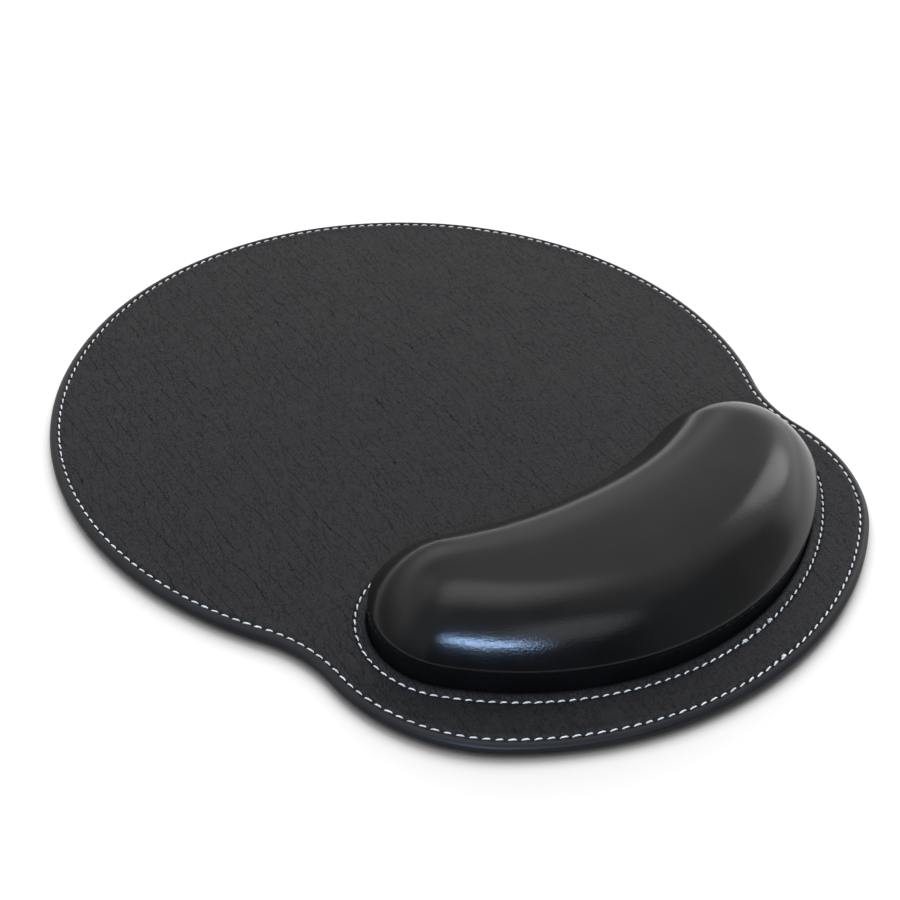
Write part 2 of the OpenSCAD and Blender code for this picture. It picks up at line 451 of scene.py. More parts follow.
def grained_leather():
    """Black grained hide: a fine net of cells, crossed by break lines from near to far.

    The lines are faint at the near end, where the hide is tighter.
    """
    n = new_material("grained_leather")
    flat = n.place()
    long_lines = creases(n, 3.2, math.radians(6), 0.30, 0.54)
    short_lines = creases(n, 2.2, math.radians(28), 0.24, 0.48)
    lines = n.math("MULTIPLY", long_lines, n.span(short_lines, 0.0, 1.0, 0.35, 1.0))
    lines = n.math("MAXIMUM", lines, n.span(n.axis(flat, "Y"), -105 * MM, -50 * MM, 0.55, 0.0))
    drawn = n.place((1.0, 0.72, 1.0), math.radians(14))
    net = n.span(n.cells(n.warp(drawn, 1.5, 0.42), 1.05), 0.0, 0.14)
    net = n.math("MAXIMUM", net, n.span(n.noise(drawn, 1.7, 1.0), 0.50, 0.68))
    skin = n.noise(flat, 0.55, 3.0, 0.65)
    height = n.math("ADD", n.math("MULTIPLY", lines, 0.60), n.math("MULTIPLY", net, 0.30))
    height = n.math("ADD", height, n.math("MULTIPLY", skin, 0.55))
    loose = n.add("ShaderNodeAttribute", attribute_name=GRAIN).outputs["Fac"]
    soft = n.noise(flat, 9.0, 2.0)
    tone = n.mix(n.span(soft, 0.3, 0.7), rgb(0.0060, 0.0058, 0.0065), rgb(0.0078, 0.0075, 0.0083))
    open_skin = n.math("MULTIPLY", lines, n.span(net, 0.0, 1.0, 0.55, 1.0))
    open_skin = n.math("MULTIPLY", open_skin, n.span(skin, 0.32, 0.60, 0.72, 1.0))
    open_skin = n.math("MAXIMUM", open_skin, n.math("SUBTRACT", 1.0, loose))
    colour = n.mix(open_skin, rgb(0.0024, 0.0024, 0.0027), tone)
    rough = n.math("ADD", n.span(soft, 0.3, 0.7, 0.44, 0.50), n.span(open_skin, 0.0, 1.0, 0.2, 0.0))
    rough = n.math("SUBTRACT", rough, n.span(loose, 0.0, 1.0, 0.08, 0.0))
    height = n.math("MULTIPLY", height, n.math("MULTIPLY_ADD", loose, 0.9, 0.1))
    shine = n.span(open_skin, 0.1, 1.0, 0.06, 0.155)
    return n.finish(Base_Color=colour, Roughness=rough, Specular_IOR_Level=shine,
                    Normal=n.bump(height, 0.13))


def moulded_leather():
    """Black smooth leather drawn over a mould: a satin skin with very fine pores."""
    n = new_material("moulded_leather")
    flat = n.place()
    pores = n.span(n.cells(n.warp(flat, 1.2, 0.25), 0.75), 0.0, 0.40)
    skin = n.noise(n.place((1.0, 0.7, 1.0), math.radians(20)), 0.55, 1.0)
    drift = n.noise(flat, 14.0, 2.0)
    height = n.math("ADD", n.math("MULTIPLY", pores, 0.12), n.math("MULTIPLY", skin, 0.88))
    colour = n.mix(n.span(drift, 0.3, 0.7), rgb(0.0030, 0.0029, 0.0028), rgb(0.0042, 0.0040, 0.0039))
    rough = n.math("ADD", n.span(drift, 0.3, 0.7, 0.10, 0.12), n.span(pores, 0.0, 1.0, 0.06, 0.01))
    heights = n.axis(flat, "Z")
    edge = WALL_Z * MM
    rough = n.math("ADD", rough, n.span(heights, edge - 2.5 * MM, edge, 0.20, 0.0))
    shine = n.span(heights, edge - 2.5 * MM, edge, 0.05, 0.175)
    return n.finish(Base_Color=colour, Roughness=rough, Specular_IOR_Level=shine,
                    Normal=n.bump(height, 0.025))


def sewing_thread(name, dark, light):
    """Twisted polyester thread with fine fibres."""
    n = new_material(name)
    flat = n.place()
    fibre = n.noise(n.place((1.0, 1.0, 3.0)), 0.12, 3.0, 0.7)
    patch = n.noise(flat, 6.0, 2.0)
    shade = n.math("ADD", n.math("MULTIPLY", fibre, 0.5), n.math("MULTIPLY", patch, 0.5))
    colour = n.mix(n.span(shade, 0.35, 0.65), dark, light)
    return n.finish(Base_Color=colour, Roughness=n.span(fibre, 0.3, 0.7, 0.55, 0.75),
                    Sheen_Weight=0.25, Normal=n.bump(fibre, 0.05))


def grip_rubber():
    """Matt anti-slip sheet with a fine cast texture."""
    n = new_material("grip_sheet")
    flat = n.place()
    cast = n.noise(flat, 0.5, 3.0, 0.65)
    drift = n.noise(flat, 22.0, 2.0)
    colour = n.mix(n.span(drift, 0.35, 0.65), rgb(0.016, 0.016, 0.017), rgb(0.028, 0.028, 0.029))
    return n.finish(Base_Color=colour, Roughness=n.span(cast, 0.3, 0.7, 0.68, 0.85),
                    Normal=n.bump(cast, 0.06))


def foam(name, dark, light, pore):
    """Open-cell foam with pores of about `pore` millimetres."""
    n = new_material(name)
    flat = n.place()
    holes = n.span(n.cells(n.warp(flat, pore * 2, pore * 0.4), pore, "F1"), 0.15, 0.6)
    drift = n.noise(flat, 12.0, 2.0)
    colour = n.mix(n.math("MULTIPLY", holes, n.span(drift, 0.2, 0.8, 0.8, 1.0)), dark, light)
    return n.finish(Base_Color=colour, Roughness=0.9, Normal=n.bump(holes, pore * 0.4))


def fibre_board():
    """Pressed fibre board: short fibres lying every way."""
    n = new_material("fibre_board")
    one = n.noise(n.place((1.0, 0.15, 1.0), 0.6), 0.5, 3.0, 0.6)
    other = n.noise(n.place((0.15, 1.0, 1.0), 0.3), 0.5, 3.0, 0.6)
    fibres = n.math("MAXIMUM", one, other)
    colour = n.mix(n.span(fibres, 0.4, 0.75), rgb(0.22, 0.15, 0.09), rgb(0.40, 0.30, 0.20))
    return n.finish(Base_Color=colour, Roughness=0.85, Normal=n.bump(fibres, 0.08))


LEATHER = grained_leather()
SMOOTH_LEATHER = moulded_leather()
WHITE_THREAD = sewing_thread("white_thread", rgb(0.38, 0.37, 0.35), rgb(0.58, 0.57, 0.54))
BLACK_THREAD = sewing_thread("black_thread", rgb(0.010, 0.010, 0.011), rgb(0.030, 0.030, 0.031))
GRIP = grip_rubber()
CUSHION_FOAM = foam("cushion_foam", rgb(0.52, 0.46, 0.28), rgb(0.80, 0.74, 0.52), 0.5)


# ------ seams

class Seam:
    """A row of whole stitches along an outline, `inset` mm in from it."""

    def __init__(self, outline, inset, wanted_pitch, place, turn):
        self.outline = outline
        self.inset = inset
        self.place = place
        self.turn = turn
        self.count = round(outline.length(inset) / wanted_pitch)
        self.pitch = outline.length(inset) / self.count

    def stations(self, per_stitch, shift=0.0):
        return self.outline.stations(self.count * per_stitch, self.inset, shift)

    def station(self, stitches):
        """The (arc, fraction) at a number of stitches along the seam."""
        return self.outline.station(stitches * self.pitch, self.inset)

    def point(self, arc, t, aside=0.0):
        """A point of the pad on the seam, or `aside` mm farther in."""
        return self.place(arc.point(t, self.inset + aside))

    def direction(self, arc, t):
        return arc.angle(t) + arc.bulge * math.pi / 2 + self.turn


def same(point):
    return point


def inset_points(stations, inset, place=same):
    """The points `inset` mm in from an outline at each of its stations."""
    return [place(arc.point(t, inset)) for arc, t in stations]


# The rim seam's distance in from the outline, and the pitches of both seams, as in the CAD part
RIM_MARGIN = 3.0
RIM_PITCH = 3.4
RING_PITCH = 3.1
RIM_SEAM = Seam(PAD, RIM_MARGIN, RIM_PITCH, same, 0.0)
RING_SEAM = Seam(RING, 0.0, RING_PITCH, on_pad, CUSHION_TURN)
# Depth of the sunk seam line and of a needle hole's dimple, and their half widths
SEAM_SINK = 0.30
SEAM_W = 0.50
HOLE_SINK = 0.50
HOLE_W = 0.48
# Columns of the leather's mesh to each stitch, and how many of them join into one farther out
FINE_PER_STITCH = 6
FINE_PER_COARSE = 3


def seam_sink(across, phase, pitch):
    """How far leather is pulled down, `across` mm from a seam and at `phase` of a stitch."""
    to_hole = min(phase, 1 - phase) * pitch
    line = SEAM_SINK * bell(across, SEAM_W)
    hole = HOLE_SINK * bell(math.hypot(across, to_hole), HOLE_W)
    return line + hole


def waviness(point):
    """The slow unevenness of a hide laid over foam."""
    p = Vector((point[0], point[1], 0))
    return 0.10 * noise.noise(p / 38) + 0.05 * noise.noise(p / 13 + Vector((7, 3, 1)))


# ------ top cover

# Half width of the rolled edge and width of the hem, as in the CAD part
ROLL_W = 2.6
HEM_W = 10.0
# Where the plate of plain triangles starts inside the rim, and the size of its triangles
PLATE_INSET = 6.2
PLATE_PITCH = 1.7
# Distances in from the cushion's seam: of the plate's edge, of the opening round the cushion's
# wall, and of that opening in the sheet's lower side
RING_PLATE = -2.7
OPENING_INSET = 3.2
OPENING_UNDER = OPENING_INSET - 1.0
# Loops from the plate over the rim's seam, and round the roll from its top (90) to its foot (270)
RIM_INSETS = (5.4, 4.8, 4.35, 4.0, 3.7, 3.45, 3.22, 3.0, 2.8, 2.6)
ROLL_DEGREES = (101, 112, 124, 137, 151, 166, 181, 196, 212, 230, 250, 270)
# Loops from the plate over the cushion's seam to its wall
RING_INSETS = (-1.9, -1.4, -1.0, -0.7, -0.45, -0.22, 0.0, 0.22, 0.45, 0.75, 1.15, 1.65, 2.2, 2.8)


def plate_z(point):
    return TOP_Z + waviness(point)


def rim_top_z(inset, phase, point):
    """Height of the leather near the rim: it swells a little on both sides of the seam."""
    swelling = 0.10 * bell(inset - 4.6, 0.9) + 0.12 * bell(inset - 1.9, 0.6)
    return plate_z(point) + swelling - seam_sink(inset - RIM_MARGIN, phase, RIM_SEAM.pitch)


def ring_top_z(inset, phase, point):
    """Height of the leather near the cushion's seam: it climbs towards the cushion's wall."""
    rise = 0.42 * smoothstep((inset - 0.5) / 1.8)
    return plate_z(point) + rise - seam_sink(inset, phase, RING_SEAM.pitch)


def fine_loop(maker, stations, inset, place, height):
    """A loop of fine columns, each at height(inset, phase, point), its phase along a stitch."""
    points = []
    for i, p in enumerate(inset_points(stations, inset, place)):
        phase = i % FINE_PER_STITCH / FINE_PER_STITCH
        points.append((p.x, p.y, height(inset, phase, p)))
    return maker.add(points)


def rolled_edge(maker, stations):
    """The cover's shaped rim, from the plate's edge over the roll to the underside."""
    loops = [fine_loop(maker, stations, inset, same, rim_top_z) for inset in RIM_INSETS]
    middle, half = (TOP_Z + HEM_Z) / 2, (TOP_Z - HEM_Z) / 2
    for degrees in ROLL_DEGREES:
        angle = math.radians(degrees)
        inset = ROLL_W + ROLL_W * math.cos(angle)
        upper = smoothstep(math.sin(angle) + 0.15)

        def roll_z(inset, phase, p):
            lift = rim_top_z(inset, phase, p) - TOP_Z
            return middle + half * math.sin(angle) + lift * upper

        loops.append(fine_loop(maker, stations, inset, same, roll_z))
    for a, b in zip(loops, loops[1:]):
        maker.bridge(b, a)
    return loops


def ring_edge(maker, stations):
    """The cover's strip from the plate's edge over the cushion's seam to the cushion's wall."""
    loops = [fine_loop(maker, stations, inset, on_pad, ring_top_z) for inset in RING_INSETS]
    for z in (TOP_Z + 0.12, COVER_Z):
        loops.append(maker.loop(inset_points(stations, OPENING_INSET, on_pad), level(z)))
    maker.strips(loops)
    return loops


def cover_plate(maker, rim_edge, rim_stations, ring_edge_loop, ring_stations):
    """The cover's broad upper face between the two shaped edges."""
    outer = maker.loop(inset_points(rim_stations, PLATE_INSET), plate_z)
    inner = maker.loop(inset_points(ring_stations, RING_PLATE, on_pad), plate_z)
    first = len(maker.faces)
    maker.bridge(rim_edge, outer)
    maker.flip(first)
    maker.bridge(ring_edge_loop, inner)

    def on_plate(p, spare):
        return (PAD.depth(p) > PLATE_INSET + spare
                and RING.depth(in_cushion(p)) < RING_PLATE - spare)

    lattice = hex_points(PAD_LOW, PAD_HIGH, PLATE_PITCH, lambda p: on_plate(p, PLATE_PITCH * 0.6))
    maker.fill([outer, inner], lattice, lambda p: on_plate(p, -CHORD_SAG), plate_z)


def cover_underside(maker, rim_end, rim_stations, ring_end, ring_stations):
    """The hem and the sheet's lower side, a leather's thickness under the upper one."""
    def loop_at(inset, z):
        return maker.loop(inset_points(rim_stations, inset), level(z))

    low, high = HEM_Z + LEATHER_T, COVER_Z
    hem = [loop_at(4.5, HEM_Z), loop_at(HEM_W, HEM_Z), loop_at(HEM_W, low)]
    for degrees in (270, 225, 180, 135, 90):
        angle = math.radians(degrees)
        inset = ROLL_W + (ROLL_W - LEATHER_T) * math.cos(angle)
        hem.append(loop_at(inset, (low + high) / 2 + (high - low) / 2 * math.sin(angle)))
    first = len(maker.faces)
    maker.bridge(rim_end, hem[0])
    maker.strips(hem)
    under = maker.loop(inset_points(ring_stations, OPENING_UNDER, on_pad), level(COVER_Z))
    maker.bridge(ring_end, under)
    maker.flip(first)
    first = len(maker.faces)
    maker.fill([hem[-1], under], [], lambda p: PAD.depth(p) > ROLL_W - CHORD_SAG
               and RING.depth(in_cushion(p)) < OPENING_UNDER + CHORD_SAG, level(COVER_Z))
    maker.flip(first)


def mark_grain(cover):
    """The grain is flat over the rolled edge and stands up most beside the cushion."""
    grain = cover.data.attributes.new(GRAIN, "FLOAT", "POINT")
    for vertex, value in zip(cover.data.vertices, grain.data):
        point = vertex.co.to_2d() / MM
        puffed = 0.7 * smoothstep((RING.depth(in_cushion(point)) + 3.0) / 4.0)
        value.value = smoothstep((PAD.depth(point) - ROLL_W + 0.6) / 1.2) + puffed


def make_top_cover():
    maker = MeshMaker()
    rim_fine = RIM_SEAM.stations(FINE_PER_STITCH)
    rim_coarse = rim_fine[::FINE_PER_COARSE]
    ring_fine = RING_SEAM.stations(FINE_PER_STITCH)
    ring_coarse = ring_fine[::FINE_PER_COARSE]
    rim_loops = rolled_edge(maker, rim_fine)
    ring_loops = ring_edge(maker, ring_fine)
    cover_plate(maker, rim_loops[0], rim_coarse, ring_loops[0], ring_coarse)
    cover_underside(maker, rim_loops[-1], rim_coarse, ring_loops[-1], ring_coarse)
    cover = maker.make("top_cover_leather", LEATHER)
    mark_grain(cover)
    stand_for(cover, "top_cover")


# ------ cushion

# Distances in from the cushion's seam, as in the CAD part: of the wall's top edge, of its foot
# from there, and of the line where the crown levels out
WALL_INSET = 3.0
FOOT_DRAW = 0.5
CROWN_INSET = 26.0
# The crown's section is an ellipse at 0.5 and a parabola at 1
CROWN_FULLNESS = 0.9
# Upper side of the sewing flange, just under the cover, and the moulded leather's thickness
FLANGE_Z = COVER_Z - 0.05
SKIN_T = 0.65
# Loops of the crown in from the seam, up to where a four-sided grid takes over
GRID_INSET = 14.0
CROWN_DEPTHS = (3.12, 3.5, 4.3, 5.4, 6.8, 8.4, 10.2, 12.1, GRID_INSET)
# Cells of that grid, and half the angle of each round end that makes one of its short sides
ALONG_CELLS = 44
ACROSS_CELLS = 8
CORNER_ANGLE = math.radians(45)
# The crown is drawn in at one place of its hollow side: where, how widely and how far
NECK_X, NECK_W, NECK_DEPTH = 27.0, 20.0, 1.7
# How much lower the crown starts, before it is blown up
SLACK = 0.4
# How far the foam lies under the outside of the leather, and its loops
FOAM_GAP = 1.3
FOAM_DEPTHS = (WALL_INSET + 1.5,) + CROWN_DEPTHS[3:]


def crown_height(point, depth):
    """Height of the crown's skin at a point of the cushion's frame, `depth` mm in from the seam."""
    hollow = RING.arcs[2]
    inwards = (Vector(point[:2]) - hollow.centre).length - HOLLOW_R
    neck = NECK_DEPTH * bell(point[0] - NECK_X, NECK_W) * smoothstep(1 - inwards / 24)
    neck *= smoothstep((depth - WALL_INSET) / 4)
    t = 1 - min(max(depth - neck - WALL_INSET, 0) / (CROWN_INSET - WALL_INSET), 1)
    return WALL_Z + (CROWN_Z - SLACK - WALL_Z) * (1 - t * t) ** CROWN_FULLNESS


def cushion_chains():
    """The seam's outline cut into four sides for a quad grid: near, end, hollow, end."""
    near, right, hollow, left = RING.arcs
    outward = (right.start + right.end) / 2
    low, high = outward - CORNER_ANGLE, outward + CORNER_ANGLE
    flip_low, flip_high = math.pi - high, math.pi - low
    return [[left.part(flip_high, left.end), near, right.part(right.start, low)],
            [right.part(low, high)],
            [right.part(high, right.end), hollow, left.part(left.start, flip_low)],
            [left.part(flip_low, flip_high)]]


def grid_inside(maker, loop, height):
    """Fills a closed four-sided loop with a Coons patch, which is a smooth grid of quads."""
    n, m = ALONG_CELLS, ACROSS_CELLS
    near = loop[:n + 1]
    right = loop[n:n + m + 1]
    hollow = loop[n + m:2 * n + m + 1][::-1]
    left = [loop[-j] for j in range(m + 1)]
    flat = [p.to_2d() for p in maker.points]
    grid = [near]
    for j in range(1, m):
        v = j / m
        row = [left[j]]
        for i in range(1, n):
            u = i / n
            p = (flat[near[i]] * (1 - v) + flat[hollow[i]] * v
                 + flat[left[j]] * (1 - u) + flat[right[j]] * u
                 - flat[near[0]] * (1 - u) * (1 - v) - flat[near[n]] * u * (1 - v)
                 - flat[hollow[0]] * (1 - u) * v - flat[hollow[n]] * u * v)
            row.extend(maker.add([(p.x, p.y, height(p, RING.depth(p)))]))
        row.append(right[j])
        grid.append(row)
    grid.append(hollow)
    for low, high in zip(grid, grid[1:]):
        for i in range(n):
            maker.faces.append((low[i], low[i + 1], high[i + 1], high[i]))


def crown_grid(maker, depths, height):
    """A cap of quads whose loops lie `depths` in from the seam. Gives back its loops."""
    stations = []
    for arcs, count in zip(cushion_chains(), (ALONG_CELLS, ACROSS_CELLS) * 2):
        stations.extend(Outline(arcs).stations(count, GRID_INSET / 2))
    loops = []
    for depth in depths:
        loops.append(maker.loop(inset_points(stations, depth), lambda p: height(p, depth)))
    maker.strips(loops)
    grid_inside(maker, loops[-1], height)
    return loops, stations


def cushion_cage():
    """The skin of the cushion in its own frame, as quads: flange, wall, crown."""
    maker = MeshMaker()
    loops, stations = crown_grid(maker, CROWN_DEPTHS, crown_height)
    foot = WALL_INSET + FOOT_DRAW
    rings = [(-FLANGE_W, FLANGE_Z), (-FLANGE_W + 0.4, FLANGE_Z), (foot - 0.5, FLANGE_Z),
             (foot, FLANGE_Z + 0.1), (foot, TOP_Z), (foot - 0.1, (TOP_Z + WALL_Z) / 2),
             (WALL_INSET + 0.04, WALL_Z - 1.2), (WALL_INSET, WALL_Z - 0.35)]
    wall = [maker.loop(inset_points(stations, inset), level(z)) for inset, z in rings]
    maker.strips(wall + loops[:1])
    fixed = [i for loop in wall + loops[:2] for i in loop]
    return maker, fixed


def foam_height(point, depth):
    return max(crown_height(point, depth - FOAM_GAP) - FOAM_GAP, WALL_Z)


def lay_on_pad(obj, rise=lambda p: 0.0):
    """Turns a mesh of the cushion's own frame into place, each point raised by rise(point)."""
    for vertex in obj.data.vertices:
        p = vertex.co / MM
        flat = on_pad(p)
        vertex.co = Vector((flat.x, flat.y, p.z + rise(p))) * MM


def make_cushion_foam():
    maker = MeshMaker()
    top = crown_grid(maker, FOAM_DEPTHS, foam_height)[0]
    bottom = crown_grid(maker, FOAM_DEPTHS[:1] + FOAM_DEPTHS[-1:], lambda p, d: WALL_Z)[0]
    maker.bridge(top[0], bottom[0])
    soft = maker.make("cushion_foam_dome", CUSHION_FOAM)
    lay_on_pad(soft)
    stand_for(soft, "cushion_foam")


# How long the skin is blown up, in frames, and how far a point of it may move
SWELL_FRAMES = 20
SWELL_CAP = 0.9


def swell(obj, fixed):
    """Blows the free part of a skin up a little by cloth simulation."""
    rest = [v.co.copy() for v in obj.data.vertices]
    sewn = obj.vertex_groups.new(name="sewn")
    sewn.add(fixed, 1.0, "REPLACE")
    cloth = obj.modifiers.new("Cloth", "CLOTH")
    settings = cloth.settings
    settings.quality = 6
    settings.mass = 0.3
    settings.tension_stiffness = 25
    settings.compression_stiffness = 25
    settings.bending_stiffness = 8
    settings.vertex_group_mass = sewn.name
    settings.use_pressure = True
    settings.uniform_pressure_force = 4
    settings.effector_weights.gravity = 0
    scene = bpy.context.scene
    for step in range(1, SWELL_FRAMES + 1):
        scene.frame_set(step)
    graph = bpy.context.evaluated_depsgraph_get()
    blown = obj.evaluated_get(graph)
    ends = [v.co.copy() for v in blown.data.vertices]
    obj.modifiers.clear()
    obj.vertex_groups.clear()
    scene.frame_set(1)
    for vertex, start, end in zip(obj.data.vertices, rest, ends):
        move = end - start
        if move.length > SWELL_CAP * MM:
            move *= SWELL_CAP * MM / move.length
        vertex.co = start + move
    obj.data.update()


def apply_modifiers(obj):
    graph = bpy.context.evaluated_depsgraph_get()
    made = bpy.data.meshes.new_from_object(obj.evaluated_get(graph))
    old = obj.data
    obj.modifiers.clear()
    obj.data = made
    bpy.data.meshes.remove(old)
    made.name = obj.name


def unevenness(point):
    """The slow waves of the cushion's skin above its wall."""
    above = smoothstep((point.z - WALL_Z) / 4)
    waves = 0.10 * noise.noise(point / 26) + 0.035 * noise.noise(point / 9 + Vector((3, 8, 2)))
    return above * waves


def make_cushion():
    maker, fixed = cushion_cage()
    cushion = maker.make("cushion_leather", SMOOTH_LEATHER)
    swell(cushion, fixed)
    cushion.modifiers.new("Subdivision", "SUBSURF").levels = 2
    apply_modifiers(cushion)
    lay_on_pad(cushion, unevenness)
    solid = cushion.modifiers.new("Thickness", "SOLIDIFY")
    solid.thickness = SKIN_T * MM
    solid.offset = -1
    apply_modifiers(cushion)
    stand_for(cushion, "cushion_cover")


# ------ threads

# Radius of the threads above and below, number of plies, and twist in each mm
NEEDLE_R = 0.22
BOBBIN_R = 0.24
PLIES = 3
TWIST = 2.2
# How far a stitch is turned from the line of its seam
STITCH_SLANT = math.radians(8)
# Cross-sections along a stitch, and points round each
STITCH_ROWS = 13
STITCH_SIDES = 12
# How far a stitch's ends dive into their holes, in thread radii
DIVE = 2.4
# Height of the upper stitches' seat in the sunk seam, and of the lower ones' in their groove
NEEDLE_Z = TOP_Z - SEAM_SINK
BOBBIN_Z = 0.45


def thread_section(centre, side, up, radius, turn):
    """Points round a thread of a few plies, a little flattened."""
    points = []
    for j in range(STITCH_SIDES):
        a = math.tau * j / STITCH_SIDES
        r = radius * (1 + 0.10 * math.cos(PLIES * (a - turn)))
        points.append(centre + side * (1.08 * r * math.cos(a)) + up * (0.92 * r * math.sin(a)))
    return points


def add_stitch(maker, point, direction, surface, radius, pitch, rng, up=1.0):
    """One stitch: a twisted thread that rises from a hole, lies on the leather and dives again."""
    slant = direction + STITCH_SLANT + rng.gauss(0, 0.035)
    along = Vector((math.cos(slant), math.sin(slant), 0))
    side = Vector((-along.y, along.x, 0))
    reach = pitch * 0.5 * rng.uniform(0.64, 0.75)
    plump = radius * rng.uniform(0.94, 1.06)
    twist = rng.uniform(0, math.tau)
    top = surface + up * (0.75 * plump + rng.gauss(0, 0.02))
    dive = radius * DIVE
    loops = []
    for k in range(STITCH_ROWS):
        t = math.sin(math.pi / 2 * (-1 + 2 * k / (STITCH_ROWS - 1)))
        slope = -4 * abs(t) ** 3 * math.copysign(1, t) * dive / reach
        across_up = Vector((0, 0, 1)) - along * slope * up
        across_up.normalize()
        centre = Vector((point.x, point.y, 0)) + along * reach * t
        centre.z = top - up * abs(t) ** 4 * dive
        squeeze = 1 - 0.55 * abs(t) ** 3
        turn = twist + t * reach * TWIST
        loops.append(maker.add(thread_section(centre, side, across_up, plump * squeeze, turn)))
    maker.strips(loops)
    maker.faces.append(tuple(reversed(loops[0])))
    maker.faces.append(tuple(loops[-1]))


def seam_stitches(maker, seam, surface, radius, rng, up=1.0):
    """A whole seam of stitches."""
    for arc, t in seam.stations(1, 0.5):
        direction = seam.direction(arc, t)
        add_stitch(maker, seam.point(arc, t), direction, surface, radius, seam.pitch, rng, up)


# The first doubled stitch of each seam, counted along it, and how many there are
RIM_TACK = 21
RING_TACK = 29
TACK_COUNT = 5


def backtack(maker, seam, first, knots, rng):
    """Where the seam's two ends lie over each other: doubled stitches, some of them knotted."""
    for i in range(TACK_COUNT):
        astray = rng.uniform(-0.3, 0.3) / seam.pitch
        arc, t = seam.station(first + i + 0.5 + astray)
        direction = seam.direction(arc, t) + rng.gauss(0, 0.12)
        point = seam.point(arc, t, rng.uniform(-0.22, 0.22))
        add_stitch(maker, point, direction, TOP_Z - 0.05, NEEDLE_R * 0.9, seam.pitch * 0.9, rng)
        if i in knots:
            for lean in (-0.8, 0.7):
                add_stitch(maker, point, direction + lean, TOP_Z + 0.1, 0.20, 2.1, rng)


def make_rim_stitches(rng):
    maker = MeshMaker()
    seam_stitches(maker, RIM_SEAM, NEEDLE_Z, NEEDLE_R, rng)
    backtack(maker, RIM_SEAM, RIM_TACK, (4,), rng)
    stand_for(maker.make("rim_stitches", WHITE_THREAD), "rim_needle_thread")


def make_cushion_stitches(rng):
    maker = MeshMaker()
    seam_stitches(maker, RING_SEAM, NEEDLE_Z, NEEDLE_R, rng)
    backtack(maker, RING_SEAM, RING_TACK, (0, 2, 4), rng)
    stand_for(maker.make("cushion_stitches", WHITE_THREAD), "ring_needle_thread")


def make_under_stitches(rng):
    maker = MeshMaker()
    seam_stitches(maker, RIM_SEAM, BOBBIN_Z, BOBBIN_R, rng, up=-1.0)
    stand_for(maker.make("rim_under_stitches", BLACK_THREAD), "rim_bobbin_thread")


def make_threads():
    rng = random.Random(5)
    make_rim_stitches(rng)
    make_cushion_stitches(rng)
    make_under_stitches(rng)


# ------ base sheet

# How far in from the pad's outline the sheet ends, and its ribs end
BASE_INSET = 1.8
RIBS_INSET = 5.0
# The ribs' pitch, and how far the valleys between them rise from the desk
RIB_PITCH = 2.0
RIB_RISE = 0.22
# Stations of the sheet's edge to each stitch, and the groove for the lower thread
BASE_PER_STITCH = 3
BOBBIN_GROOVE_W = 1.1
BOBBIN_GROOVE_DEPTH = 0.30


def half_width(y, inset):
    """Half of the pad's width at y, `inset` mm in from its outline."""
    low, high = 0.0, PAD_HIGH.x
    for _ in range(24):
        x = (low + high) / 2
        if PAD.depth(Vector((x, y))) > inset:
            low = x
        else:
            high = x
    return low


def rib_rows(maker):
    """Rows of points across the underside: two on each rib's face and two in each valley."""
    inset = RIBS_INSET + 0.35
    low, high = PAD_LOW.y + inset, PAD_HIGH.y - inset
    rows = []
    for i in range(int((high - low) / RIB_PITCH)):
        for part, z in ((0.12, RIB_RISE), (0.32, RIB_RISE), (0.44, 0.0), (0.88, 0.0)):
            y = low + (i + part) * RIB_PITCH
            x = half_width(y, inset)
            if x > 2.0:
                rows.append(maker.add([(-x, y, z), (x, y, z)]))
    return rows


def make_base_sheet():
    """The anti-slip sheet, ribbed underneath, with a groove for the rim's lower thread."""
    maker = MeshMaker()
    stations = RIM_SEAM.stations(BASE_PER_STITCH)
    hem_edge, step_z = HEM_W + 0.1, BASE_HIGH.z
    half = BOBBIN_GROOVE_W / 2
    section = [(RIBS_INSET, 0.0), (RIM_MARGIN + half, 0.0),
               (RIM_MARGIN + half * 0.8, BOBBIN_GROOVE_DEPTH),
               (RIM_MARGIN - half * 0.8, BOBBIN_GROOVE_DEPTH), (RIM_MARGIN - half, 0.0),
               (BASE_INSET + 0.25, 0.0), (BASE_INSET, 0.2), (BASE_INSET, HEM_Z),
               (hem_edge, HEM_Z), (hem_edge, step_z)]
    loops = [maker.loop(inset_points(stations, inset), level(z)) for inset, z in section]
    maker.strips(loops)
    rows = rib_rows(maker)
    maker.fill([loops[0]], [], lambda p: PAD.depth(p) > RIBS_INSET - CHORD_SAG, level(0), rows)
    maker.fill([loops[-1]], [], lambda p: PAD.depth(p) > hem_edge - CHORD_SAG, level(0))
    stand_for(maker.make("base_grip_sheet", GRIP, smooth=False), "base_sheet")


# ------ CAD nodes that stay

def dress(node, material):
    """Gives a CAD node its own procedural material."""
    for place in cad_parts[node].material_slots:
        place.material = material


dress("padding_foam", foam("foam_sheet", rgb(0.16, 0.16, 0.17), rgb(0.42, 0.42, 0.43), 0.6))
dress("cushion_block", foam("firm_foam", rgb(0.03, 0.03, 0.035), rgb(0.10, 0.10, 0.11), 0.35))
dress("stiffener_board", fibre_board())
dress("ring_bobbin_thread", BLACK_THREAD)

make_top_cover()
make_cushion()
make_cushion_foam()
make_threads()
make_base_sheet()


# ------ stage, light, camera

FLOOR_HALF = 4000
WARM = (1.0, 0.98, 0.97)
COOL = (0.92, 0.95, 1.0)
BLUE = (0.42, 0.64, 1.0)


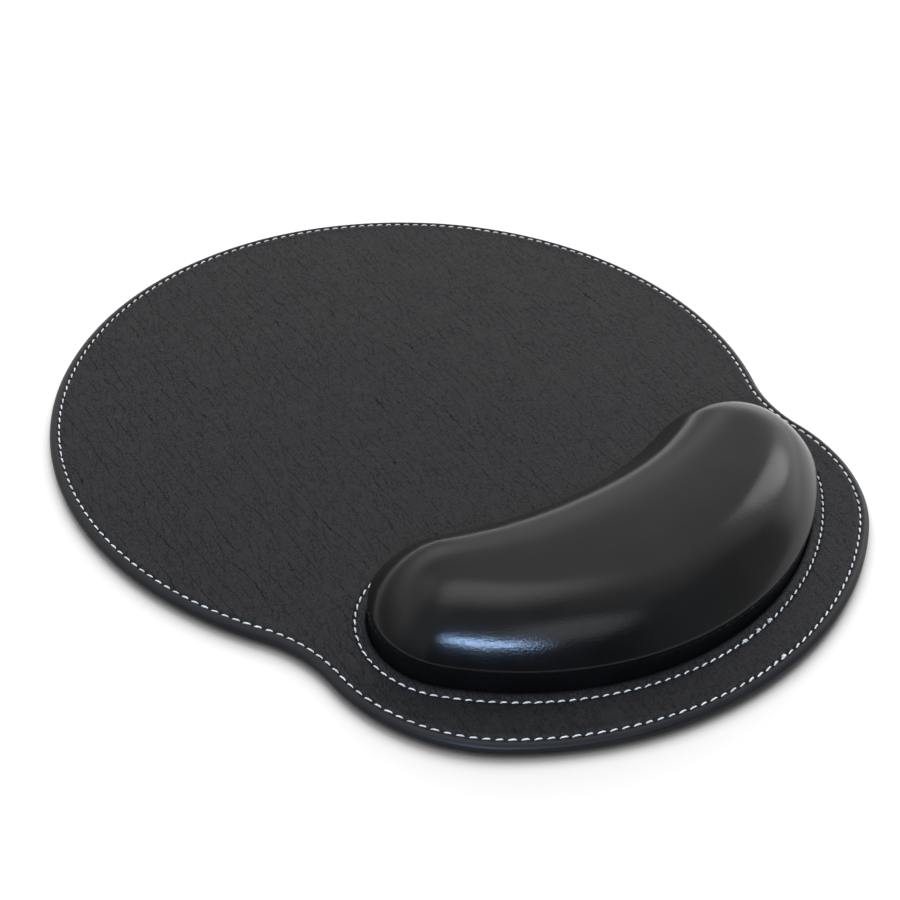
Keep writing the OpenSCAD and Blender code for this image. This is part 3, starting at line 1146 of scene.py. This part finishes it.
def floor():
    """A pale floor that can't be seen from below."""
    n = new_material("studio_floor")
    back = n.add("ShaderNodeNewGeometry").outputs["Backfacing"]
    clear = n.add("ShaderNodeBsdfTransparent")
    paper = n.finish(Base_Color=rgb(0.36, 0.36, 0.36), Roughness=0.9, Specular_IOR_Level=0.1)
    out = n.tree.nodes["Material Output"]
    front = n.tree.nodes["Principled BSDF"]
    mixed = n.add("ShaderNodeMixShader", {0: back, 1: front.outputs[0], 2: clear.outputs[0]})
    n.tree.links.new(mixed.outputs[0], out.inputs["Surface"])
    half = FLOOR_HALF
    maker = MeshMaker()
    corners = maker.add([(-half, -half, 0), (half, -half, 0), (half, half, 0), (-half, half, 0)])
    maker.faces.append(tuple(corners))
    plane = maker.make("studio_floor", paper, smooth=False)
    return plane


def stand(obj, place, right, up, back):
    """Stands a light or camera at a place in mm, with its own X, Y and Z along three directions."""
    turned = Matrix((right, up, back)).transposed()
    obj.matrix_world = Matrix.Translation(place * MM) @ turned.to_4x4()


def light_only(light, receivers):
    """Keeps a light's effect to the given pieces."""
    lit = bpy.data.collections.new(light.name + "_receivers")
    for piece in receivers:
        lit.objects.link(piece)
    light.light_linking.receiver_collection = lit


def soft_light(name, azimuth, elevation, distance, width, height, radiance, colour, along, core):
    """An oval light aimed at the pad, its width towards azimuth `along`.

    Azimuth 0 is beyond the far edge and 90 on the right. The light fades from `core` of its
    size to its edge, at 0.5.
    """
    data = bpy.data.lights.new(name, "AREA")
    data.shape = "ELLIPSE"
    data.size = width * MM
    data.size_y = height * MM
    data.energy = radiance * math.pi * math.pi / 4 * data.size * data.size_y
    data.color = colour
    n = Nodes(data)
    place = n.add("ShaderNodeNewGeometry").outputs["Parametric"]
    out = n.add("ShaderNodeVectorMath", {0: place, 1: (0.5, 0.5, 0)}, operation="DISTANCE")
    n.put(n.tree.nodes["Emission"].inputs["Strength"], n.span(out.outputs["Value"], core, 0.5, 1, 0))
    light = new_object(name, data)
    a, e = math.radians(azimuth), math.radians(elevation)
    towards = Vector((math.sin(a) * math.cos(e), math.cos(a) * math.cos(e), math.sin(e)))
    b = math.radians(along)
    wide = Vector((math.sin(b), math.cos(b), 0))
    wide = (wide - towards * wide.dot(towards)).normalized()
    stand(light, towards * distance, wide, towards.cross(wide), towards)
    return light


def far_wash(azimuth, elevation, spread, strength):
    """Even light from beyond the pad, as from a wide disc of sky `spread` degrees across."""
    data = bpy.data.lights.new("far_wash", "SUN")
    data.angle = math.radians(spread)
    data.energy = strength
    light = new_object("far_wash", data)
    light.rotation_euler = (math.radians(90 - elevation), 0, math.radians(180 - azimuth))
    return light


def studio_world(bright):
    """Soft light from beyond and above the pad, and dim light from the near side."""
    n = Nodes(bpy.data.worlds.new("studio"))
    place = n.add("ShaderNodeTexCoord")
    x, y, z = n.add("ShaderNodeSeparateXYZ", {0: place.outputs["Generated"]}).outputs
    # Beyond the pad (y): brighter to the right (x), and straight ahead if low (z) or on the left
    sideways = n.span(x, -0.7, 0.5, 0.62, 1.0)
    low_or_left = n.math("MAXIMUM", n.span(z, 0.54, 0.66, 1, 0), n.span(x, -0.3, 0.1, 1, 0))
    ahead = n.math("MULTIPLY", n.span(x, 0.45, 0.68, 0.6, 0.0), n.span(y, 0.1, 0.5))
    sideways = n.math("ADD", sideways, n.math("MULTIPLY", low_or_left, ahead))
    # Dark along the horizon except on the right, and brighter overhead
    low_down = n.span(z, 0.10, 0.50, 1.0, 0.0)
    horizon = n.math("MULTIPLY", low_down, n.span(x, 0.50, 0.82, -0.72, 0.30))
    above = n.span(z, 0.66, 0.98, 0.0, 0.48)
    far = n.math("MULTIPLY", sideways, n.math("ADD", n.math("ADD", 1.0, above), horizon))
    # On the near side: dim, but less so on the right and high up
    near = n.math("ADD", n.span(x, -0.2, 0.55, 0.02, 0.36), n.span(z, 0.60, 0.82, 0.0, 0.45))
    beyond = n.span(y, -0.36, -0.14)
    strength = n.math("ADD", n.math("MULTIPLY", far, beyond),
                      n.math("MULTIPLY", near, n.math("SUBTRACT", 1.0, beyond)))
    # The camera sees an even white
    seen = n.add("ShaderNodeLightPath").outputs["Is Camera Ray"]
    strength = n.math("MAXIMUM", strength, seen)
    background = n.tree.nodes["Background"]
    n.put(background.inputs["Color"], rgb(1, 1, 1))
    n.put(background.inputs["Strength"], n.math("MULTIPLY", strength, bright))
    bpy.context.scene.world = n.owner


# The camera stands to the near left of the pad
VIEW_AZIMUTH = math.radians(42.36)
VIEW_ELEVATION = math.radians(38.43)
VIEW_ROLL = math.radians(3.98)
CAMERA_LENS = 66.2
CAMERA_PLACE = Vector((-282.0, -307.7, TOP_Z + 324.0))


def camera():
    data = bpy.data.cameras.new("camera")
    data.sensor_width = 36.0
    data.lens = CAMERA_LENS
    data.clip_start = 0.01
    data.clip_end = 20.0
    made = new_object("camera", data)
    forward = Vector((math.sin(VIEW_AZIMUTH), math.cos(VIEW_AZIMUTH), 0))
    right = Vector((forward.y, -forward.x, 0))
    ahead = forward * math.cos(VIEW_ELEVATION) - Vector((0, 0, math.sin(VIEW_ELEVATION)))
    up = right.cross(ahead)
    turned_right = right * math.cos(VIEW_ROLL) + up * math.sin(VIEW_ROLL)
    turned_up = up * math.cos(VIEW_ROLL) - right * math.sin(VIEW_ROLL)
    stand(made, CAMERA_PLACE, turned_right, turned_up, -ahead)
    bpy.context.scene.camera = made


PIECES = [o for o in bpy.context.scene.objects if o.type == "MESH"]
FLOOR = floor()
studio_world(1.40)
soft_light("overhead_box", azimuth=-115, elevation=86, distance=1200, width=1450, height=820,
           radiance=3.1, colour=WARM, along=95, core=0.08)
soft_light("right_box", azimuth=94, elevation=28, distance=1200, width=360, height=825,
           radiance=3.8, colour=WARM, along=4, core=0.25)
lamp = soft_light("near_lamp", azimuth=-137, elevation=34.5, distance=1000, width=820, height=38,
                  radiance=370.0, colour=BLUE, along=-47, core=0.0)
panel = soft_light("near_panel", azimuth=-168, elevation=41.5, distance=1200, width=1120,
                   height=470, radiance=2.6, colour=COOL, along=-78, core=0.2)
wash = far_wash(azimuth=42, elevation=38, spread=66, strength=8.3)
light_only(lamp, PIECES)
light_only(panel, PIECES)
light_only(wash, [FLOOR])
camera()
bpy.context.scene.view_settings.view_transform = "Standard"
